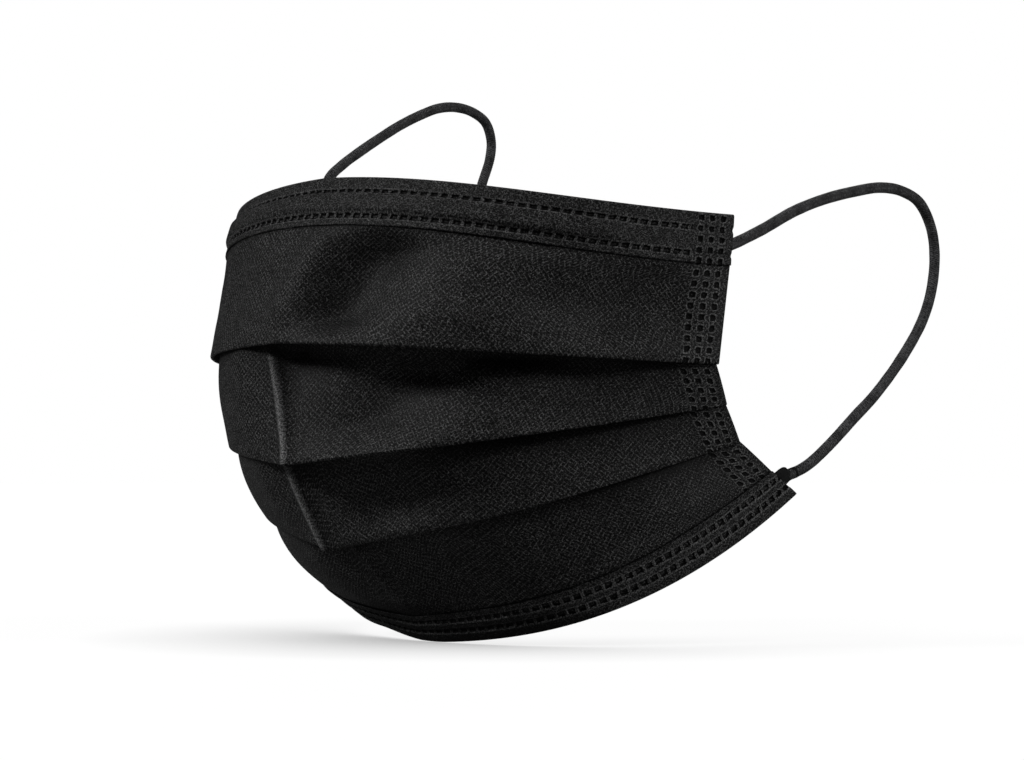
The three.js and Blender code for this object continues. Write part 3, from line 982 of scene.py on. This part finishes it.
    # painted highlight along the crease's pressed top
    fromCrease = addNode(material, "Math", {0: weldAxes.outputs["X"], 1: crease["mapStart"]},
                         operation="SUBTRACT")
    offCrease = addNode(material, "Math", {0: fromCrease}, operation="ABSOLUTE")
    wander = addNode(material, "Math", {0: offCrease, 1: shift}, operation="SUBTRACT")
    paintedCreaseHighlight = addNode(material, "MapRange", {"Value": wander, "From Min": 0.1, "From Max": 0.9,
                                           "To Min": 0.8, "To Max": 0.0})
    bare = addNode(material, "Mix", {0: face, 6: linearColour(spunbond["ground"]),
                                     7: linearColour(spunbond["ridge"])}, data_type="RGBA")
    # painted highlights: the weld rims and the crease's top, broken into specks, are lightened towards
    # the pale glint colour
    paintedGlint = addNode(material, "MapRange", {"Value": welds, "From Min": 0.64, "From Max": 0.84})
    broken = addNode(material, "MapRange", {"Value": uneven, "From Min": 0.4, "From Max": 0.54,
                                            "To Min": 0.4})
    raised = addNode(material, "Math", {0: paintedGlint, 1: broken}, operation="MULTIPLY")
    glintSpecks = addNode(material, "MapRange", {"Value": speck, "From Min": 0.42, "From Max": 0.62,
                                            "To Min": 0.15})
    bright = addNode(material, "Math", {0: raised, 1: paintedCreaseHighlight}, operation="MAXIMUM")
    paintedHighlight = addNode(material, "Math", {0: bright, 1: glintSpecks}, operation="MULTIPLY")
    highlightedColour = addNode(material, "Mix", {0: paintedHighlight, 6: bare.outputs[2], 7: linearColour(spunbond["paintedGlint"])},
                     data_type="RGBA")
    pit = addNode(material, "MapRange", {"Value": welds, "From Min": 0.1, "From Max": 0.45,
                                         "To Min": 1.0, "To Max": 0.0})
    colour = addNode(material, "Mix", {0: pit, 6: highlightedColour.outputs[2],
                                       7: linearColour(spunbond["fused"])}, data_type="RGBA")
    weave = addNode(material, "Bump", {"Height": face, "Strength": 0.8, "Distance": 0.08 * mm})
    relief = addNode(material, "Bump", {"Height": welds, "Strength": 1.0, "Distance": 0.45 * mm,
                                        "Normal": weave})
    rough = addNode(material, "MapRange", {"Value": face, "To Min": spunbond["roughness"] + 0.1,
                                           "To Max": spunbond["roughness"] - 0.1})
    # painted shade: deep in the pleats, where almost no light comes back, ambient occlusion darkens the
    # cloth's colour
    shadeReach, shadeGamma = spunbond["shade"]
    hollow = addNode(material, "AmbientOcclusion", {"Color": colour.outputs[2],
                                                    "Distance": shadeReach * mm}, samples=6)
    depth = addNode(material, "Gamma", {"Color": hollow.outputs["AO"], "Gamma": shadeGamma})
    paintedPleatShade = addNode(material, "Mix", {0: 1.0, 6: colour.outputs[2], 7: depth.outputs["Color"]},
                     data_type="RGBA", blend_type="MULTIPLY")
    finishMaterial(material, {
        "Base Color": paintedPleatShade.outputs[2],
        "Roughness": rough,
        "Normal": relief,
        "IOR": 1.49,
        "Specular IOR Level": spunbond["gloss"],
    })
    return material


# Round elastic: a knitted polyester sleeve over rubber threads, matt with fine ribs round it. Its
# welded ends have melted: nearly smooth, and darker
elasticLook = {
    "lean": 0.35,  # mm along for each mm round that the courses lean
    "yarn": (2.0, 3.4, 1),  # per mm round and along; real yarn is half as coarse, which wouldn't show
    "patches": (0.05, 0.33, 1),  # per mm, where the sleeve is more and less stretched
    "shade": (0.06, 0.56),  # from what is darkest to what is lightest
    "ribRelief": 0.08 * mm,
    "roughness": 0.72,
    "gloss": 0.35,
}


def makeElastic(name, ribs, dark, light):
    material = newMaterial(name)
    cord = addNode(material, "UVMap", uv_map="cord").outputs[0]
    axes = addNode(material, "SeparateXYZ", {0: cord})
    lean = addNode(material, "Math", {0: axes.outputs["X"], 1: elasticLook["lean"],
                                      2: axes.outputs["Y"]}, operation="MULTIPLY_ADD")
    course = addNode(material, "Math", {0: lean, 1: 2 * math.pi * mm / earLoop["ribPitch"]},
                     operation="MULTIPLY")
    wave = addNode(material, "Math", {0: course}, operation="SINE")
    stretch = addNode(material, "Mapping", {"Vector": cord, "Scale": elasticLook["yarn"]})
    fibres = addNode(material, "TexNoise", {"Vector": stretch, "Scale": 1.0, "Detail": 2.0})
    yarn = addNode(material, "MapRange", {"Value": fibres, "From Min": 0.3, "From Max": 0.7})
    bands = addNode(material, "Mapping", {"Vector": cord, "Scale": elasticLook["patches"]})
    patchy = addNode(material, "TexNoise", {"Vector": bands, "Scale": 1.0, "Detail": 2.0})
    level = addNode(material, "Math", {0: wave, 1: ribs, 2: yarn}, operation="MULTIPLY_ADD")
    worn = addNode(material, "Math", {0: level, 1: patchy}, operation="MULTIPLY")
    shade = addNode(material, "MapRange", {"Value": worn, "From Min": elasticLook["shade"][0],
                                           "From Max": elasticLook["shade"][1]})
    colour = addNode(material, "Mix", {0: shade, 6: linearColour(dark), 7: linearColour(light)},
                     data_type="RGBA")
    relief = addNode(material, "Bump", {"Height": level, "Strength": 0.8,
                                        "Distance": elasticLook["ribRelief"]})
    finishMaterial(material, {
        "Base Color": colour.outputs[2],
        "Roughness": elasticLook["roughness"],
        "Normal": relief,
        "IOR": 1.5,
        "Specular IOR Level": elasticLook["gloss"],
        "Sheen Weight": 0.06,
        "Sheen Roughness": 0.4,
    })
    return material


# Flat wire of zinc-coated mild steel: dull bright metal with drawn lines along it
def makeWireSteel():
    material = newMaterial("coatedSteelWire")
    cord = addNode(material, "UVMap", uv_map="cord").outputs[0]
    drawn = addNode(material, "Mapping", {"Vector": cord, "Scale": (14, 0.4, 1)})
    lines = addNode(material, "TexNoise", {"Vector": drawn, "Scale": 1.0, "Detail": 3.0})
    rough = addNode(material, "MapRange", {"Value": lines, "To Min": 0.32, "To Max": 0.5})
    tint = addNode(material, "Mix", {0: lines, 6: linearColour("#a9acb0"), 7: linearColour("#c9ccd0")},
                   data_type="RGBA")
    relief = addNode(material, "Bump", {"Height": lines, "Strength": 0.3, "Distance": 0.03 * mm})
    finishMaterial(material, {"Base Color": tint.outputs[2], "Roughness": rough, "Metallic": 1.0,
                              "Normal": relief})
    return material


# The pieces are made and told to the frame
leftLoop, leftPath, leftLength = makeLoop("earLoopLeft", leftLoopRoute, "ear_loop_left")
rightLoop, rightPath, rightLength = makeLoop("earLoopRight", rightLoopRoute, "ear_loop_right")
loopEnds = {}
for name, node, cordPath in (("loopEndTopLeft", "loop_weld_top_left", leftPath),
                             ("loopEndTopRight", "loop_weld_top_right", rightPath),
                             ("loopEndBottomLeft", "loop_weld_bottom_left", leftPath[::-1]),
                             ("loopEndBottomRight", "loop_weld_bottom_right", rightPath[::-1])):
    loopEnds[name] = makeLoopEnd(name, node, cordPath)
print("ear loops ready", round(leftLength / mm), round(rightLength / mm), "mm")

maskPanel = makePanel()
print("panel ready", len(maskPanel.data.polygons))
topBand = makeHem("topHem", topHem, "top_hem", True)
bottomBand = makeHem("bottomHem", bottomHem, "bottom_hem", False)
print("hems ready", len(topBand.data.polygons), len(bottomBand.data.polygons))
wire = makeNoseWire()

panelCloth = makeSpunbond("spunbondPolypropylene", 1.0, 0.6)
hemCloth = makeSpunbond("spunbondPolypropyleneHem", 0.6, 1.1)
elastic = makeElastic("knittedElastic", 0.22, "#0f0f10", "#808082")
fused = makeElastic("fusedElastic", 0.1, "#030303", "#0b0b0c")
steel = makeWireSteel()
for piece, material in ((maskPanel, panelCloth), (topBand, hemCloth), (bottomBand, hemCloth),
                        (leftLoop, elastic), (rightLoop, elastic), (wire, steel),
                        *((end, fused) for end in loopEnds.values())):
    piece.data.materials.clear()
    piece.data.materials.append(material)
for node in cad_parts.values():
    if not node.data.materials:
        node.data.materials.append(panelCloth)
print("materials ready")


# Floor and light
studio = {
    "floorSize": 8.0,
    "floorGap": 0.1,  # mm from the object down to the floor
    "floor": "#6e6e6e",
    "bounce": "#969696",  # what the floor gives back to the object
    "glow": 0.95,  # the floor's own light as the camera sees it, which keeps it near white
    "contact": (45, 0.42),  # painted shadow: mm over which the object darkens that glow, and how strongly
    "backdrop": 1.0,  # the world's light as the camera sees it
    "fill": 0.0,  # and what it gives to the object
    # direction that each light comes from, its width in degrees and its strength
    "lights": {
        "key": ((-0.42, -0.74, 0.53), 12, 1.02),
        "top": ((0.25, -0.28, 0.92), 20, 0.25),
        "rightRim": ((0.75, 0.64, 0.3), 20, 0.1),
        "front": ((0.86, 0.34, 0.36), 10, 0.62),
        "back": ((-0.6, 0.7, 0.4), 30, 0.4),
    },
}


def makeStudio():
    low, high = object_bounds()
    place = (0, 0, low.z - studio["floorGap"] * mm)
    bpy.ops.mesh.primitive_plane_add(size=studio["floorSize"], location=place)
    floor = bpy.context.object
    floor.name = "floor"
    paper = newMaterial("matWhitePaper")
    ray = addNode(paper, "LightPath")
    tone = addNode(paper, "Mix", {0: ray.outputs["Is Camera Ray"], 6: linearColour(studio["bounce"]),
                                  7: linearColour(studio["floor"])}, data_type="RGBA")
    # painted shadow: ambient occlusion darkens the floor's glow near the object
    paintedContactShadow = addNode(paper, "AmbientOcclusion", {"Distance": studio["contact"][0] * mm}, samples=12)
    shade = addNode(paper, "Gamma", {"Color": paintedContactShadow.outputs["AO"], "Gamma": studio["contact"][1]})
    lit = addNode(paper, "Math", {0: shade, 1: studio["glow"]}, operation="MULTIPLY")
    glow = addNode(paper, "Math", {0: ray.outputs["Is Camera Ray"], 1: lit}, operation="MULTIPLY")
    finishMaterial(paper, {"Base Color": tone.outputs[2], "Roughness": 0.9, "Specular IOR Level": 0.0,
                           "Emission Color": (1, 1, 1, 1), "Emission Strength": glow})
    floor.data.materials.append(paper)
    world = bpy.data.worlds.new("studio")
    world.use_nodes = True
    backdrop = world.node_tree.nodes["Background"]
    backdrop.inputs["Color"].default_value = (1, 1, 1, 1)
    seen = addNode(world, "LightPath")
    shown = addNode(world, "Mix", {0: seen.outputs["Is Camera Ray"], 2: studio["fill"],
                                   3: studio["backdrop"]})
    world.node_tree.links.new(shown.outputs[0], backdrop.inputs["Strength"])
    bpy.context.scene.world = world
    for name, (direction, width, strength) in studio["lights"].items():
        data = bpy.data.lights.new(name, "SUN")
        data.angle = math.radians(width)
        data.energy = strength
        lamp = bpy.data.objects.new(name, data)
        lamp.location = Vector(direction)
        lamp.rotation_euler = (-Vector(direction)).to_track_quat("-Z", "Y").to_euler()
        bpy.context.scene.collection.objects.link(lamp)
    bpy.context.scene.view_settings.view_transform = "Standard"


makeStudio()
print("studio ready")
